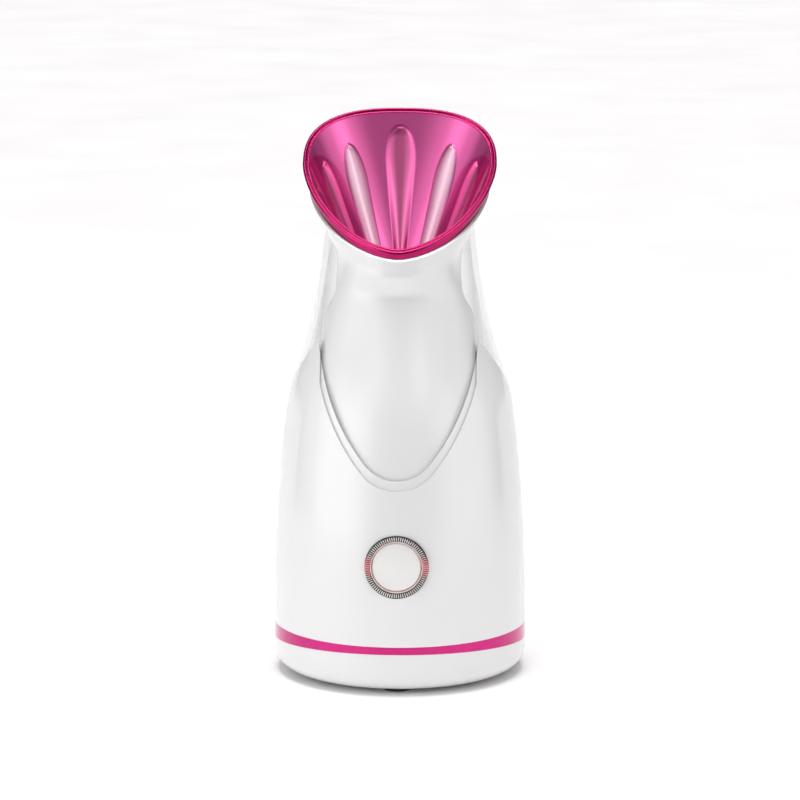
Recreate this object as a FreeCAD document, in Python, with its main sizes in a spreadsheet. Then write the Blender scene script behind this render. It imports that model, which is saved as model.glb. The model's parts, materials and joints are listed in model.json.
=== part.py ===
import FreeCAD, Part
import math
import os
import Sketcher
from FreeCAD import Placement, Rotation, Vector

# Facial steamer. Millimetres, +Z up, the steam scoop and the button face -Y, +X is to the right.
# The origin is on the surface it stands on, under the middle of the housing.

DIMENSIONS = {
    # housing
    "body_radius": 56.1, "body_taper": 7.1, "body_bottom": 22.3, "shoulder_height": 127,
    "neck_core": 28, "shoulder_drop": 21, "shoulder_fall": 47, "top_height": 209,
    "wall": 2.4, "seam_gap": 0.4, "fit_gap": 0.15,
    # seam between the housing and the tank, seen from the side
    "peak_depth": 21, "peak_height": 151, "rear_seam_height": 105,
    # front opening of the housing
    "opening_bottom": 94.7, "opening_radius": 18, "opening_side_radius": 91, "opening_turn": 50,
    "ledge_width": 4.3, "ledge_depth": 0.9,
    # base and trim ring
    "base_bottom": 2, "floor": 2.4, "rim_inner": 53.4, "spigot_inner": 51.2, "spigot_top": 28,
    "trim_front": 19, "trim_slope": 4.6, "base_rounding": 8, "foot_radius": 6, "foot_circle": 40,
    "foot_height": 2.6, "screw_circle": 42, "boss_circle": 49.6, "deck_screw_side": 39.5,
    "post_radius": 4, "pilot_radius": 1.3,
    # steam scoop
    "scoop_width": 84.8, "scoop_length": 77.3, "scoop_widest": 48, "lip_depth": 36, "lip_height": 191,
    "rim_top_depth": 15.17, "rim_top_height": 249.2, "rim_band": 3, "scoop_wall": 2.4,
    "throat_radius": 14, "throat_depth": 17, "throat_height": 178, "flute_depth": 1.1,
    "flute_half_angle": 9.5, "calyx_wall": 1.6,
    # neck
    "neck_wall": 2, "neck_middle": 17, "neck_back_bottom": 118, "neck_bottom": 90,
    # tank
    "edge_depth": 17.4, "edge_height": 148, "edge_lean": 0.378, "tank_wall": 2.5, "tank_tilt": 30,
    "mouth_depth": 20, "spout_outer": 9.5, "spout_bore": 7.5,
    "cap_radius": 12, "cap_bore": 9.7, "socket_bore": 13.3, "socket_radius": 15.6,
    "socket_length": 24, "deck_step": 2.6, "deck_wall": 2.4,
    # button
    "button_height": 57.7, "ring_radius": 13.7, "ring_bore": 11.5, "ring_front": 55.9,
    "ring_flange": 15.5, "guide_radius": 11.4, "guide_bore": 10.95, "button_radius": 10.7,
    "ring_back": 49, "button_back": 50, "button_depth": 5.5, "button_wall": 2, "stem_radius": 2.5,
    "stem_end": 46.5,
    # steam unit
    "boiler_radius": 16, "boiler_wall": 1.5, "boiler_depth": 12, "boiler_bottom": 46,
    "boiler_top": 82, "tube_radius": 5, "tube_bore": 3.5, "plate_bottom": 32, "plate_top": 34,
    "plate_radius": 52.5, "hose_radius": 4, "hose_bore": 3.05, "hose_depth": 15,
    # control board
    "board_front": 41.6, "board_back": 40, "board_half_width": 17, "board_bottom": 38, "board_top": 78,
    # power inlet
    "inlet_width": 22, "inlet_height": 13, "inlet_middle": 44, "inlet_back": 40,
}

UP = Vector(0, 0, 1)
DOWN = Vector(0, 0, -1)
FRONT = Vector(0, -1, 0)
BACK = Vector(0, 1, 0)
RIGHT = Vector(1, 0, 0)

doc = FreeCAD.newDocument("facial_steamer")
sheet = doc.addObject("Spreadsheet::Sheet", "Size")
nodes = []


def fill_sheet():
    for row, (name, number) in enumerate(DIMENSIONS.items(), 1):
        sheet.set("A%d" % row, name)
        sheet.set("B%d" % row, str(number))
        sheet.setAlias("B%d" % row, name)
    doc.recompute()


fill_sheet()


def mm(text):
    """The value of a sum of sheet names and numbers, such as "wall + 0.3"."""
    total = 0.0
    sign = 1
    for word in str(text).split():
        if word in ("+", "-"):
            sign = 1 if word == "+" else -1
        else:
            total += sign * float(sheet.get(word) if word in DIMENSIONS else word)
            sign = 1
    return total


def linked(text):
    """The same sum as an expression on the sheet."""
    words = ["Size." + word if word in DIMENSIONS else word for word in str(text).split()]
    return " ".join(words)


def bind(item, **sizes):
    for name, text in sizes.items():
        item.setExpression(name, linked(text))


def place(item, at, facing=UP):
    """Puts an item's own origin at a point, with its own Z along the facing direction."""
    turn = Rotation(UP, facing)
    if isinstance(at, Vector):
        item.Placement = Placement(at, turn)
        return
    item.Placement = Placement(Vector(*[mm(text) for text in at]), turn)
    for axis, text in zip("xyz", at):
        item.setExpression("Placement.Base." + axis, linked(text))


def cylinder(name, radius, height, at, facing=UP):
    item = doc.addObject("Part::Cylinder", name)
    bind(item, Radius=radius, Height=height)
    place(item, at, facing)
    return item


def box(name, length, width, height, at):
    """A block whose lowest corner is at the point."""
    item = doc.addObject("Part::Box", name)
    bind(item, Length=length, Width=width, Height=height)
    place(item, at)
    return item


def ring(name, radius, bore, height, at, facing=UP):
    outer = cylinder(name + "_outer", radius, height, at, facing)
    inner = cylinder(name + "_bore", bore, height, at, facing)
    return cut(name, outer, inner)


def feature(name, shape):
    item = doc.addObject("Part::Feature", name)
    item.Shape = shape
    return item


def cut(name, base, *tools):
    item = doc.addObject("Part::Cut", name)
    item.Base = base
    item.Tool = tools[0] if len(tools) == 1 else fuse(name + "_tools", *tools)
    return item


def fuse(name, *items):
    item = doc.addObject("Part::MultiFuse", name)
    item.Shapes = list(items)
    return item


def common(name, *items):
    item = doc.addObject("Part::MultiCommon", name)
    item.Shapes = list(items)
    return item


def group(name, *items):
    item = doc.addObject("Part::Compound", name)
    item.Links = list(items)
    return item


def node(item, label):
    item.Label = label
    nodes.append(item)
    return item


def plane(body, role):
    return next(item for item in body.Origin.OriginFeatures if item.Role == role)


def turned(name, outline):
    """A PartDesign body revolved about Z from (radius, height) corners given as sheet sums."""
    body = doc.addObject("PartDesign::Body", name)
    sketch = body.newObject("Sketcher::SketchObject", name + "_outline")
    sketch.AttachmentSupport = (plane(body, "XZ_Plane"), [""])
    sketch.MapMode = "FlatFace"
    corners = [Vector(mm(radius), mm(height), 0) for radius, height in outline]
    count = len(corners)
    for index, corner in enumerate(corners):
        sketch.addGeometry(Part.LineSegment(corner, corners[(index + 1) % count]), False)
    for index in range(count):
        sketch.addConstraint(Sketcher.Constraint("Coincident", index, 2, (index + 1) % count, 1))
    for index, (radius, height) in enumerate(outline):
        if mm(radius) == 0:
            sketch.addConstraint(Sketcher.Constraint("PointOnObject", index, 1, -2))
        else:
            measure(sketch, "DistanceX", index, radius)
        measure(sketch, "DistanceY", index, height)
    turn = body.newObject("PartDesign::Revolution", name + "_turn")
    turn.Profile = sketch
    turn.ReferenceAxis = (sketch, ["V_Axis"])
    turn.Angle = 360
    doc.recompute()
    return body


def measure(sketch, kind, index, text):
    number = sketch.addConstraint(Sketcher.Constraint(kind, -1, 1, index, 1, mm(text)))
    sketch.setExpression("Constraints[%d]" % number, linked(text))


def round_edges(body, name, radius, places):
    """Rounds a turned body's circular edges at the (radius, height) places."""
    base = body.Tip
    found = []
    for number, edge in enumerate(base.Shape.Edges, 1):
        if not isinstance(edge.Curve, Part.Circle):
            continue
        here = (edge.Curve.Radius, edge.Curve.Center.z)
        if any(math.dist(here, (mm(far), mm(high))) < 0.01 for far, high in places):
            found.append("Edge%d" % number)
    item = body.newObject("PartDesign::Fillet", name)
    item.Base = (base, found)
    item.setExpression("Radius", linked(radius))
    doc.recompute()


# ---- curved surfaces ----

def skin(rings):
    """A closed solid over a stack of rings of control points, with flat end rings."""
    count = len(rings[0])
    spans = len(rings) - 3
    poles = [[points[index] for points in rings] for index in range(count)]
    stack_repeats = [4] + [1] * (spans - 1) + [4]
    surface = Part.BSplineSurface()
    surface.buildFromPolesMultsKnots(poles, [1] * (count + 1), stack_repeats, list(range(count + 1)),
                                     list(range(spans + 1)), True, False, 3, 3)
    side = surface.toShape()
    ends = [Part.Face(Part.Wire([edge])) for edge in side.Edges if not edge.isSeam(side)]
    solid = Part.Solid(Part.makeShell([side] + ends))
    solid.fix(1e-4, 1e-4, 1e-3)
    return solid


def block(low, high):
    return Part.makeBox(high[0] - low[0], high[1] - low[1], high[2] - low[2], Vector(*low))


def housing_radius(height):
    shoulder = mm("shoulder_height")
    if height <= shoulder:
        share = max(0.0, height - mm("body_bottom")) / (shoulder - mm("body_bottom"))
        return mm("body_radius") - mm("body_taper") * share ** 2.3
    fall = math.exp((shoulder - height) / mm("shoulder_fall"))
    return mm("neck_core") + mm("shoulder_drop") * fall


def housing_curve(offset):
    """Side outline shared by the housing and the tank, drawn in by an offset."""
    heights = [mm("body_bottom"), 40, 60, 80, 100, 114, 127, 140, 156, 174, 190, 200]
    poles = [Vector(housing_radius(height) - offset, 0, height) for height in heights]
    top = mm("top_height") - offset
    for radius, height in ((31, top - 3), (22, top - 0.3), (0, top)):
        poles.append(Vector(radius - (offset if radius else 0), 0, height))
    curve = Part.BSplineCurve()
    curve.buildFromPoles(poles, False, 3)
    return curve


def housing_solid(offset):
    curve = housing_curve(offset)
    bottom = mm("body_bottom")
    start = curve.value(curve.FirstParameter)
    top = curve.value(curve.LastParameter)
    foot = Vector(0, 0, bottom)
    edges = [curve.toShape(), Part.makeLine(top, foot), Part.makeLine(foot, start)]
    face = Part.Face(Part.Wire(Part.__sortEdges__(edges)))
    return face.revolve(Vector(0, 0, 0), UP, 360)


def radius_at(curve, height):
    low, high = curve.FirstParameter, curve.LastParameter
    for _ in range(40):
        middle = (low + high) / 2
        if curve.value(middle).z < height:
            low = middle
        else:
            high = middle
    return curve.value(low).x


def seam_curve(lift):
    """Seam of the housing and the tank, as depth and height, raised by a lift."""
    peak, side, rear = mm("peak_height"), mm("shoulder_height") + 0.5, mm("rear_seam_height")
    points = [(-44, peak + 24), (-mm("peak_depth"), peak), (0, side), (14, side - 10),
              (32, side - 17), (70, rear)]
    curve = Part.BSplineCurve()
    curve.interpolate([Vector(-70, depth, height + lift) for depth, height in points])
    return curve


def above_seam(lift):
    curve = seam_curve(lift)
    start, end = curve.value(curve.FirstParameter), curve.value(curve.LastParameter)
    ceiling = 300
    high_start = Vector(start.x, start.y, ceiling)
    high_end = Vector(end.x, end.y, ceiling)
    edges = [curve.toShape(), Part.makeLine(end, high_end), Part.makeLine(high_end, high_start),
             Part.makeLine(high_start, start)]
    return Part.Face(Part.Wire(edges)).extrude(Vector(140, 0, 0))


def seam_height(depth, lift=0):
    curve = seam_curve(lift)
    low, high = curve.FirstParameter, curve.LastParameter
    for _ in range(40):
        middle = (low + high) / 2
        if curve.value(middle).y < depth:
            low = middle
        else:
            high = middle
    return curve.value(low).z


def opening_prism(widen):
    """Front opening as a prism along Y. Widen lowers its bottom and fades out at the top."""
    turn = math.radians(mm("opening_turn"))
    radius = mm("opening_radius") + widen / 2
    middle = mm("opening_bottom") - widen + radius
    corner_x, corner_z = radius * math.sin(turn), middle - radius * math.cos(turn)
    side = mm("opening_side_radius")
    hub_x, hub_z = corner_x - side * math.sin(turn), corner_z + side * math.cos(turn)
    half = (math.pi / 2 - turn) / 2
    mid_x, mid_z = hub_x + side * math.cos(half), hub_z - side * math.sin(half)
    top_x = hub_x + side
    front = -80

    def at(x, z):
        return Vector(x, front, z)

    edges = [Part.Arc(at(-corner_x, corner_z), at(0, middle - radius), at(corner_x, corner_z)).toShape()]
    for sign in (1, -1):
        arc = Part.Arc(at(sign * corner_x, corner_z), at(sign * mid_x, mid_z), at(sign * top_x, hub_z))
        edges.append(arc.toShape())
        edges.append(Part.makeLine(at(sign * top_x, hub_z), at(sign * top_x, 260)))
    edges.append(Part.makeLine(at(-top_x, 260), at(top_x, 260)))
    face = Part.Face(Part.Wire(Part.__sortEdges__(edges)))
    return face.extrude(Vector(0, 80, 0))


# ---- scoop and neck rings ----

RING_POINTS = 120


def signed_power(number, power):
    return math.copysign(abs(number) ** power, number)


def bend(start, middle, end, share):
    """Point of a quadratic curve, as depth and height."""
    weights = ((1 - share) ** 2, 2 * share * (1 - share), share ** 2)
    points = (start, middle, end)
    return [sum(weight * point[axis] for weight, point in zip(weights, points)) for axis in (0, 1)]


def rim_direction():
    depth = mm("rim_top_depth") + mm("lip_depth")
    height = mm("rim_top_height") - mm("lip_height")
    length = math.hypot(depth, height)
    return depth / length, height / length


def scoop_section(share):
    """Front point, back point and half width of the scoop's inside, throat 0 to rim 1."""
    depth, height = rim_direction()
    band = mm("rim_band")
    throat_y, throat_z, throat_r = -mm("throat_depth"), mm("throat_height"), mm("throat_radius")
    lip = (-mm("lip_depth") + depth * band, mm("lip_height") + height * band)
    top = (mm("rim_top_depth") - depth * band, mm("rim_top_height") - height * band)
    front = bend((throat_y - throat_r, throat_z), (-33, 184), lip, share)
    back = bend((throat_y + throat_r, throat_z), (8, 197), top, share)
    half = throat_r + (mm("scoop_width") / 2 - band - throat_r) * share ** 1.15
    return front, back, half


def flute(angle, share):
    """Depth of the petal flutes in the scoop's inside at a ring angle from the back centre."""
    depth = 0.0
    for middle, end in ((0, 0.93), (34, 0.87), (67, 0.87), (98, 0.87)):
        run = (share - (end - 0.2)) / 0.2
        width = mm("flute_half_angle") * math.sqrt(max(0.0, 1 - max(0.0, run) ** 2))
        away = abs(abs(angle) - middle)
        if away < width:
            depth = mm("flute_depth") * (1 - (away / width) ** 2) * min(1.0, width / 5)
    return depth


def scoop_ring(share, grow, fluted=False):
    (front_y, front_z), (back_y, back_z), half = scoop_section(share)
    length = math.hypot(back_y - front_y, back_z - front_z)
    along_y, along_z = (back_y - front_y) / length, (back_z - front_z) / length
    widest = length * (0.5 + (mm("scoop_widest") / mm("scoop_length") - 0.5) * share)
    points = []
    for index in range(RING_POINTS):
        angle = 2 * math.pi * index / RING_POINTS
        power = 2 / (2 + 0.6 * share) if math.sin(angle) > 0 else 2 / (2 - 0.32 * share)
        off_back = math.degrees((angle - math.pi / 2 + math.pi) % (2 * math.pi) - math.pi)
        extra = grow + (flute(off_back, share) if fluted else 0)
        across = (half + extra) * signed_power(math.cos(angle), power)
        reach = (length - widest if math.sin(angle) > 0 else widest) + extra
        along = widest + reach * signed_power(math.sin(angle), power)
        points.append(Vector(across, front_y + along_y * along, front_z + along_z * along))
    return points


def neck_ring(height, half, rear, inset, inner_curve):
    """Level ring of the neck: kept inside the housing's wall in front, an ellipse behind."""
    limit = radius_at(inner_curve, height) - inset
    middle = -mm("neck_middle")
    points = []
    for index in range(RING_POINTS):
        angle = 2 * math.pi * index / RING_POINTS
        power = 2 / 2.7 if math.sin(angle) < 0 else 1
        x = (half - inset) * signed_power(math.cos(angle), power)
        reach = rear - inset - middle if math.sin(angle) > 0 else limit + middle
        y = middle + reach * signed_power(math.sin(angle), power)
        distance = math.hypot(x, y)
        if distance > limit:
            x, y = x * limit / distance, y * limit / distance
        points.append(Vector(x, y, height))
    return points


def neck_solid(inset):
    inner_curve = housing_curve(mm("wall + fit_gap"))
    stations = ((88, 36, 2), (104, 36, 2), (120, 36, 2), (136, 35.4, 2), (148, 34.4, 2), (156, 34.2, 2),
                (162, 33.6, 2), (166, 31.2, 2), (169, 28.8, 2), (174, 27.4, 2))
    rings = [neck_ring(height, half, rear, inset, inner_curve) for height, half, rear in stations]
    calyx = mm("scoop_wall + calyx_wall")
    inner = mm("scoop_wall") - 1.4
    for share, extra in ((0.35, 1), (0.5, 0), (0.65, 0), (0.76, 0), (0.86, 0)):
        grow = calyx + extra if inset == 0 else (inner + extra if share < 0.5 else inner)
        rings.append(scoop_ring(share, grow))
    return skin(rings)


SHARES = (0, 0.07, 0.15, 0.25, 0.36, 0.47, 0.58, 0.68, 0.77, 0.85, 0.92, 0.97, 1)


def scoop_outer(extra=0):
    """Outside of the scoop, which ends on the outer edge of the rim."""
    wall = mm("scoop_wall") + extra
    rim = mm("rim_band") + extra
    return skin([scoop_ring(share, wall + (rim - wall) * max(0.0, share - 0.8) * 5) for share in SHARES])


def scoop_inner():
    return skin([scoop_ring(share, 0, True) for share in SHARES])


def tank_axis():
    tilt = math.radians(mm("tank_tilt"))
    return Vector(0, math.sin(tilt), math.cos(tilt))


def on_tank_axis(distance):
    """Point on the tank's mouth axis, measured up from the tank's underside."""
    depth = mm("mouth_depth")
    return Vector(0, depth, seam_height(depth, mm("seam_gap"))) + tank_axis() * distance


# ---- housing ----

def make_body_shell():
    inner = housing_solid(mm("wall")).fuse(Part.makeCylinder(
        mm("rim_inner + fit_gap"), 12, Vector(0, 0, mm("body_bottom") - 1)))
    shape = housing_solid(0).cut(inner)
    shape = shape.cut(above_seam(0)).cut(opening_prism(0))
    ledge = housing_solid(-1).cut(housing_solid(mm("ledge_depth")))
    ledge = ledge.common(opening_prism(mm("ledge_width")))
    ledge = ledge.common(block((-34, -60, 80), (34, 0, 150)))
    shell = feature("shell_form", shape.cut(ledge))
    bosses = []
    for number, (x, y) in enumerate(shell_screw_places()):
        bosses.append(cylinder("shell_boss_%d" % number, 4.5, 12, (x, y, "plate_top")))
    lug_top = seam_height(mm("mouth_depth"))
    lugs = [cylinder("deck_lug_%d" % number, 5, 14, Vector(x, y, lug_top - 16))
            for number, (x, y) in enumerate(deck_screw_places())]
    under_deck = housing_solid(1).cut(above_seam(-mm("deck_step + deck_wall")))
    stiff = common("shell_bosses", fuse("boss_set", *bosses, *lugs), feature("under_deck", under_deck))
    pilots = [cylinder("shell_pilot_%d" % number, "pilot_radius", 9, (x, y, "plate_top"))
              for number, (x, y) in enumerate(shell_screw_places())]
    pilots += [cylinder("deck_pilot_%d" % number, "pilot_radius", 12, Vector(x, y, lug_top - 13))
               for number, (x, y) in enumerate(deck_screw_places())]
    hole = cylinder("button_hole", "ring_radius + 0.1", 20, (0, "0 - 40", "button_height"), FRONT)
    port = box("inlet_port", "inlet_width + 0.4", 20, "inlet_height + 0.4",
               ("-11.2", 45, "inlet_middle - 6.7"))
    solid = fuse("shell_solid", shell, stiff)
    node(cut("body_shell_cut", solid, hole, port, *pilots), "body_shell")


def shell_screw_places():
    far = mm("boss_circle")
    return [(far * math.cos(math.radians(turn)), far * math.sin(math.radians(turn)))
            for turn in (20, 160, 200, 340)]


def deck_screw_places():
    return [(sign * mm("deck_screw_side"), mm("mouth_depth")) for sign in (-1, 1)]


def diagonal_places(radius):
    return [(radius * math.cos(math.radians(turn)), radius * math.sin(math.radians(turn)))
            for turn in (45, 135, 225, 315)]


def above_trim():
    """Block above the trim ring's sloping lower edge."""
    slope = math.radians(mm("trim_slope"))
    reach = 70
    drop = mm("trim_front") - (reach - mm("body_radius")) * -math.tan(slope)
    far = drop - 2 * reach * math.tan(slope)
    corners = [Vector(-reach, -reach, drop), Vector(-reach, reach, far), Vector(-reach, reach, 60),
               Vector(-reach, -reach, 60)]
    return Part.Face(Part.makePolygon(corners + corners[:1])).extrude(Vector(2 * reach, 0, 0))


def make_base():
    base = turned("base_turned", [
        (0, "base_bottom"), ("body_radius - 0.3", "base_bottom"), ("body_radius", "body_bottom"),
        ("rim_inner", "body_bottom"), ("rim_inner", "spigot_top"), ("spigot_inner", "spigot_top"),
        ("spigot_inner", "base_bottom + floor"), (0, "base_bottom + floor")])
    round_edges(base, "base_edge", "base_rounding", [("body_radius - 0.3", "base_bottom")])
    over = feature("over_trim", above_trim())
    core = cylinder("rim_core", "rim_inner", 60, (0, 0, 0))
    wedge = cut("trim_space", over, core)
    pads = []
    holes = [wedge]
    for number, (x, y) in enumerate(diagonal_places(mm("screw_circle"))):
        pads.append(cylinder("screw_pad_%d" % number, 5.5, 5, (x, y, "base_bottom")))
        holes.append(cylinder("head_hole_%d" % number, 3.3, 3, (x, y, "base_bottom")))
        holes.append(cylinder("shank_hole_%d" % number, 1.7, 10, (x, y, "base_bottom")))
    for number, (x, y) in enumerate(square_places()):
        holes.append(cylinder("foot_seat_%d" % number, "foot_radius + 0.1", 0.6, (x, y, "base_bottom")))
    node(cut("base_cut", fuse("base_solid", base, *pads), *holes), "base_cover")
    band = ring("trim_band", "body_radius", "rim_inner", "body_bottom", (0, 0, 0))
    node(common("trim_wedge", band, feature("over_trim_copy", above_trim())), "trim_ring")


def square_places():
    far = mm("foot_circle")
    return [(far, 0), (0, far), (-far, 0), (0, -far)]


def make_feet():
    feet = [cylinder("foot_%d" % number, "foot_radius", "foot_height", (x, y, 0))
            for number, (x, y) in enumerate(square_places())]
    node(group("feet", *feet), "foot_pads")


def screw(name, at, facing, head=2.8, head_height=1.6, shank=1.4, length=9):
    """Pan-head screw: the point is under the head, and facing is the way the head looks."""
    cap = cylinder(name + "_head", head, head_height, at, facing)
    rod = cylinder(name + "_shank", shank, length, at - facing * length, facing)
    body = fuse(name + "_solid", cap, rod)
    slot_at = at + facing * (head_height - 0.6)
    slot = cylinder(name + "_drive", 1.1, 0.8, slot_at, facing)
    return cut(name, body, slot)


def make_housing_screws():
    base = [screw("base_screw_%d" % number, Vector(x, y, mm("base_bottom") + 3), DOWN, length=12,
                  shank=mm("pilot_radius")) for number, (x, y) in enumerate(diagonal_places(42))]
    node(group("base_screw_set", *base), "base_screws")
    shell = [screw("shell_screw_%d" % number, Vector(x, y, mm("plate_bottom")), DOWN, length=9,
                   shank=mm("pilot_radius")) for number, (x, y) in enumerate(shell_screw_places())]
    node(group("shell_screw_set", *shell), "shell_screws")
    seat = seam_height(mm("mouth_depth"), -mm("deck_step")) - 1
    deck = [screw("deck_screw_%d" % number, Vector(x, y, seat), UP, length=8,
                  shank=mm("pilot_radius")) for number, (x, y) in enumerate(deck_screw_places())]
    node(group("deck_screw_set", *deck), "deck_screws")


# ---- neck and scoop ----

def make_neck():
    hollow = neck_solid(mm("neck_wall"))
    form = neck_solid(0).cut(hollow).cut(scoop_outer(0.1))
    split = -mm("neck_middle")
    front = form.common(block((-80, -90, mm("neck_bottom")), (80, split, 300)))
    back = form.common(block((-80, split, mm("neck_back_bottom")), (80, 60, 300)))
    node(feature("neck_front_form", front), "neck_cover")
    node(feature("neck_back_form", back), "neck_back")
    node(feature("scoop_form", scoop_outer().cut(scoop_inner())), "nozzle_scoop")


def make_outlet():
    depth, height = -mm("throat_depth"), mm("throat_height")
    disc = cylinder("outlet_disc", "throat_radius + 1", 2, (0, depth, height - 2))
    nose = cylinder("outlet_nose", "tube_radius + 2.6", 4, (0, depth, height - 2))
    collar = cylinder("outlet_collar", "tube_radius + 2.2", 11, (0, depth, height - 12.2))
    bore = cylinder("outlet_bore", "tube_bore", 20, (0, depth, height - 13))
    seat = cylinder("outlet_seat", "tube_radius + 1", 7.5, (0, depth, height - 12.2))
    needle = cylinder("needle_hole", 1.2, 6, (10, depth, height - 6))
    node(cut("outlet", fuse("outlet_solid", disc, nose, collar), bore, seat, needle), "steam_outlet")
    node(ring("outlet_seal", "tube_radius + 1", "tube_radius + 0.05", 5, (0, depth, height - 11.5)),
         "outlet_gasket")


# ---- deck under the tank ----

def make_deck():
    top, bottom = -mm("deck_step"), -mm("deck_step + deck_wall")
    plate = housing_solid(mm("wall") + 0.3).cut(above_seam(top)).common(above_seam(bottom))
    plate = plate.common(block((-60, -mm("neck_middle") - 3, 90), (60, 60, 160)))
    grown = neck_solid(-0.15)
    socket = cylinder("socket_body", "socket_radius", "socket_length + 1",
                      on_tank_axis(-mm("socket_length") - 1), tank_axis())
    below = feature("below_deck", housing_solid(mm("wall") + 0.3).cut(above_seam(top)))
    well = common("socket_trimmed", socket, below)
    nipple = cylinder("hose_nipple", 3, 12, (0, "hose_depth", 82))
    solid = fuse("deck_solid", feature("deck_plate", plate), well, nipple)
    bore = cylinder("socket_bore_cut", "socket_bore", "socket_length + 6",
                    on_tank_axis(2 - mm("socket_length")), tank_axis())
    drain = cylinder("nipple_bore", 2, 20, (0, "hose_depth", 81))
    seat = seam_height(mm("mouth_depth"), top) - 1
    holes = [cylinder("deck_hole_%d" % number, 1.6, 12, Vector(x, y, seat - 10))
             for number, (x, y) in enumerate(deck_screw_places())]
    holes += [cylinder("deck_counterbore_%d" % number, 3.1, 6, Vector(x, y, seat))
              for number, (x, y) in enumerate(deck_screw_places())]
    node(cut("deck_cut", solid, bore, drain, feature("neck_space", grown), *holes), "tank_deck")
    floor = 2 - mm("socket_length")
    base = cylinder("post_base", 6, 1, on_tank_axis(floor), tank_axis())
    pin = cylinder("post_pin", 2.5, 6 + floor + mm("socket_length") - 2.1, on_tank_axis(floor), tank_axis())
    node(fuse("valve_post_solid", base, pin), "valve_post")
    node(ring("socket_seal_ring", "socket_bore", "cap_radius + 0.2", 1.5, on_tank_axis(-4.5),
              tank_axis()), "socket_seal")


# ---- tank, cap and valve ----

def tank_front(lift):
    """Half space behind the tank's leaning front edge."""
    lean = math.degrees(math.atan(mm("edge_lean")))
    solid = block((-80, 0, -160), (80, 120, 160))
    solid.rotate(Vector(0, 0, 0), RIGHT, -lean)
    solid.translate(Vector(0, lift - mm("edge_depth"), mm("edge_height")))
    return solid


def channel_ring(height, half, rear, grow):
    middle = (height - mm("edge_height")) * mm("edge_lean") - mm("edge_depth")
    points = []
    for index in range(48):
        angle = 2 * math.pi * index / 48
        reach = rear - middle + grow if math.sin(angle) > 0 else 30
        points.append(Vector((half + grow) * math.cos(angle), middle + reach * math.sin(angle), height))
    return points


def tank_channel(grow):
    """Hollow in the tank's front that clears the neck."""
    stations = ((96, 41, 5.5), (122, 39, 5.5), (148, 35.8, 6), (165, 33.6, 7), (180, 32.2, 9),
                (194, 31, 13), (206, 30.4, 17), (220, 30.4, 22))
    return skin([channel_ring(height, half, rear, grow) for height, half, rear in stations])


def make_tank():
    gap, wall = mm("seam_gap"), mm("tank_wall")
    form = housing_solid(0).common(above_seam(gap)).common(tank_front(0)).cut(tank_channel(0))
    room = housing_solid(wall).common(above_seam(gap + wall * 1.15)).common(tank_front(wall))
    room = room.cut(tank_channel(wall))
    shell = feature("tank_form", form.cut(room))
    spout = cylinder("tank_spout", "spout_outer", 8.6, on_tank_axis(-7.3), tank_axis())
    bore = cylinder("tank_bore", "spout_bore", 14, on_tank_axis(-8), tank_axis())
    node(cut("tank_cut", fuse("tank_solid", shell, spout), bore), "tank_shell")


def make_cap():
    axis = tank_axis()
    body = cylinder("cap_body", "cap_radius", 9.8, on_tank_axis(-11), axis)
    bore = cylinder("cap_bore_cut", "cap_bore", 12, on_tank_axis(-8.3), axis)
    hole = cylinder("cap_hole", 3.2, 6, on_tank_axis(-12), axis)
    grips = []
    for number in range(12):
        turn = Rotation(axis, 30 * number)
        side = turn.multVec(RIGHT) * (mm("cap_radius") + 0.5)
        grips.append(cylinder("cap_grip_%d" % number, 1.2, 5.5, on_tank_axis(-11) + side, axis))
    node(cut("cap_cut", body, bore, hole, *grips), "tank_cap")
    node(ring("cap_seal_ring", "cap_bore - 0.1", 7.2, 1, on_tank_axis(-8.3), axis), "cap_seal")


def make_valve():
    axis = tank_axis()
    button = cylinder("stem_button", 4, 1, on_tank_axis(-16), axis)
    rod = cylinder("stem_rod", 1.6, 12, on_tank_axis(-16), axis)
    head = cylinder("stem_head", 4.6, 1, on_tank_axis(-5.1), axis)
    node(fuse("stem_solid", button, rod, head), "valve_stem")
    node(ring("valve_seal_ring", 5.2, 1.6, 1.2, on_tank_axis(-6.3), axis), "valve_seal")
    node(coil("valve_spring_wire", 2.9, 0.35, 3.2, 4, on_tank_axis(-14.6), axis), "valve_spring")


def coil(name, radius, wire, height, turns, at, facing):
    """Compression spring of round wire."""
    steps = 10
    points = []
    for index in range(turns * steps + 1):
        turn = 2 * math.pi * index / steps
        rise = height * index / (turns * steps)
        points.append(Vector(radius * math.cos(turn), radius * math.sin(turn), rise))
    item = feature(name, rod(points, wire))
    place(item, at, facing)
    return item


# ---- button ----

def make_button():
    height = "button_height"
    sleeve = cylinder("ring_sleeve", "ring_radius", "ring_front - ring_back", (0, "0 - ring_back", height),
                      FRONT)
    flange = cylinder("ring_back_flange", "ring_flange", 1.4, (0, "0 - ring_back", height), FRONT)
    bore = cylinder("ring_bore_cut", "ring_bore", 12, (0, "1 - ring_back", height), FRONT)
    node(cut("ring_cut", fuse("ring_solid", sleeve, flange), bore), "button_ring")
    node(ring("guide", "guide_radius", "guide_bore", 5.4, (0, "0 - button_back", height), FRONT),
         "light_guide")
    face = cylinder("button_face", "button_radius", "button_depth", (0, "0 - button_back", height), FRONT)
    hollow = cylinder("button_hollow", "button_radius - button_wall", "button_depth - button_wall",
                      (0, "0 - button_back", height), FRONT)
    stem = cylinder("button_stem", "stem_radius", "button_back + 3.5 - stem_end",
                    (0, "0 - stem_end", height), FRONT)
    node(fuse("button_solid", cut("button_cup", face, hollow), stem), "button_cap")
    case = box("switch_case", 12, 3.4, 12, ("0 - 6", "0 - 45", "button_height - 6"))
    pit = cylinder("switch_pit", 1.9, 3, (0, "0 - 42.6", height), FRONT)
    node(cut("switch", case, pit), "tact_switch")
    node(cylinder("plunger", 1.8, "stem_end - 44.1", (0, "0 - 44.1", height), FRONT), "switch_plunger")


# ---- steam unit ----

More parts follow.
